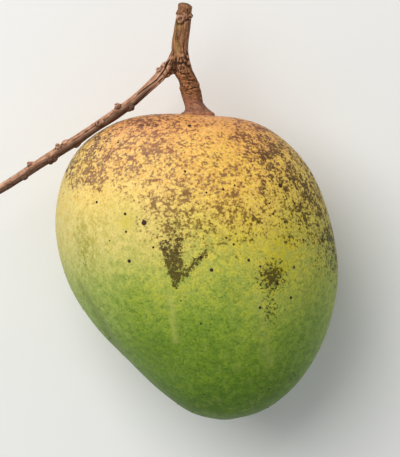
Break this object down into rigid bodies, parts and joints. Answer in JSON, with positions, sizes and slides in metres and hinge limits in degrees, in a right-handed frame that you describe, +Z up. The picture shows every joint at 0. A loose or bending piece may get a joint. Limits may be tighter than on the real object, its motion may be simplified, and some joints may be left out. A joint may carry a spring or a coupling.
{
  "type": "mango",
  "caption": "Round mango as picked, lying on one cheek, with its woody stalk, a cut stub and a thin side twig that passes over the shoulder.",
  "frame": {"origin": "middle of the small flat spot on the lower cheek, which the fruit rests on", "axes": "+Y along the fruit from its tip to its stalk end, +X from the beak side to the back, +Z up from the lower cheek to the upper one"},
  "size_m": [0.1277, 0.147, 0.0894],
  "materials": {
    "mango_skin": "satin",
    "bark": "matte"
  },
  "bodies": {
    "root": {"mango_fruit": "mango_skin", "woody_stalk": "bark"}
  },
  "joints": []
}
